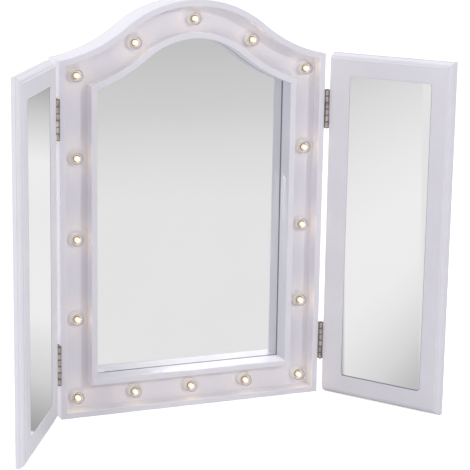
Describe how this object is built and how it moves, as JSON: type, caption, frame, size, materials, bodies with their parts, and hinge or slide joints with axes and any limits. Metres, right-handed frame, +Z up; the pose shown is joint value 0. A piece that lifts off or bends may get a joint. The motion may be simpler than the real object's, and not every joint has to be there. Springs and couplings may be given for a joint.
{
  "type": "lighted makeup mirror",
  "caption": "Free-standing tri-fold dressing mirror: an arched centre mirror in a recessed trough of warm LED globe bulbs, with two hinged rectangular wing mirrors.",
  "frame": {"origin": "middle of the centre panel's foot, on the table, midway between its front and its back", "axes": "+X to the viewer's right across the centre panel, +Y to the back, +Z up"},
  "size_m": [0.5791, 0.2066, 0.535],
  "materials": {
    "white_paint": "MDF with satin white paint",
    "mirror_glass": "silvered glass",
    "bare_wood": "planed softwood",
    "back_board": "hardboard with white paint",
    "screw_steel": "zinc plated",
    "hinge_metal": "dull nickel plated steel",
    "white_plastic": "moulded white plastic",
    "black_plastic": "moulded black plastic",
    "cell_can": "plain shrink sleeve",
    "contact_metal": "nickel plated spring strip",
    "wire_sleeve": "white sleeving",
    "collar_plastic": "moulded white plastic",
    "clear_globe": "clear",
    "led_resin": "warm white LED, lit"
  },
  "bodies": {
    "centre_panel": {"back_panel": "back_board", "back_panel_screws": "screw_steel", "battery_box": "white_plastic", "battery_cells": "cell_can", "battery_contacts": "contact_metal", "bottom_batten": "bare_wood", "bulb_collars": "collar_plastic", "bulb_globes": "clear_globe", "bulb_leds": "led_resin", "centre_hinge_screws": "screw_steel", "centre_mirror": "mirror_glass", "inner_arch_rail": "white_paint", "inner_bottom_rail": "white_paint", "inner_left_stile": "white_paint", "inner_right_stile": "white_paint", "left_batten": "bare_wood", "left_lower_hinge_centre_leaf": "hinge_metal", "left_lower_hinge_pin": "hinge_metal", "left_upper_hinge_centre_leaf": "hinge_metal", "left_upper_hinge_pin": "hinge_metal", "light_board": "white_paint", "outer_arch_rail": "white_paint", "outer_bottom_rail": "white_paint", "outer_left_stile": "white_paint", "outer_right_stile": "white_paint", "right_batten": "bare_wood", "right_lower_hinge_centre_leaf": "hinge_metal", "right_lower_hinge_pin": "hinge_metal", "right_upper_hinge_centre_leaf": "hinge_metal", "right_upper_hinge_pin": "hinge_metal", "switch_body": "black_plastic", "wiring_loom": "wire_sleeve"},
    "left_wing": {"left_lower_hinge_wing_leaf": "hinge_metal", "left_upper_hinge_wing_leaf": "hinge_metal", "left_wing_board": "white_paint", "left_wing_hinge_screws": "screw_steel", "left_wing_mirror": "mirror_glass"},
    "right_wing": {"right_lower_hinge_wing_leaf": "hinge_metal", "right_upper_hinge_wing_leaf": "hinge_metal", "right_wing_board": "white_paint", "right_wing_hinge_screws": "screw_steel", "right_wing_mirror": "mirror_glass"},
    "battery_cover": {"battery_cover": "white_plastic"},
    "switch_slider": {"switch_slider": "black_plastic"}
  },
  "joints": [
    {"name": "left_wing_fold", "type": "hinge", "parent": "centre_panel", "child": "left_wing", "pos_m": [-0.18385, -0.02525, 0.2315], "axis": [0, 0, 1], "range_deg": [-71.2, 118.8]},
    {"name": "right_wing_fold", "type": "hinge", "parent": "centre_panel", "child": "right_wing", "pos_m": [0.18385, -0.02525, 0.2315], "axis": [0, 0, -1], "range_deg": [-66.5, 123.5]},
    {"name": "battery_cover_off", "type": "slide", "parent": "centre_panel", "child": "battery_cover", "axis": [0, 1, 0], "range_m": [0, 0.025]},
    {"name": "power_switch", "type": "slide", "parent": "centre_panel", "child": "switch_slider", "axis": [0, 0, -1], "range_m": [0, 0.004]}
  ]
}
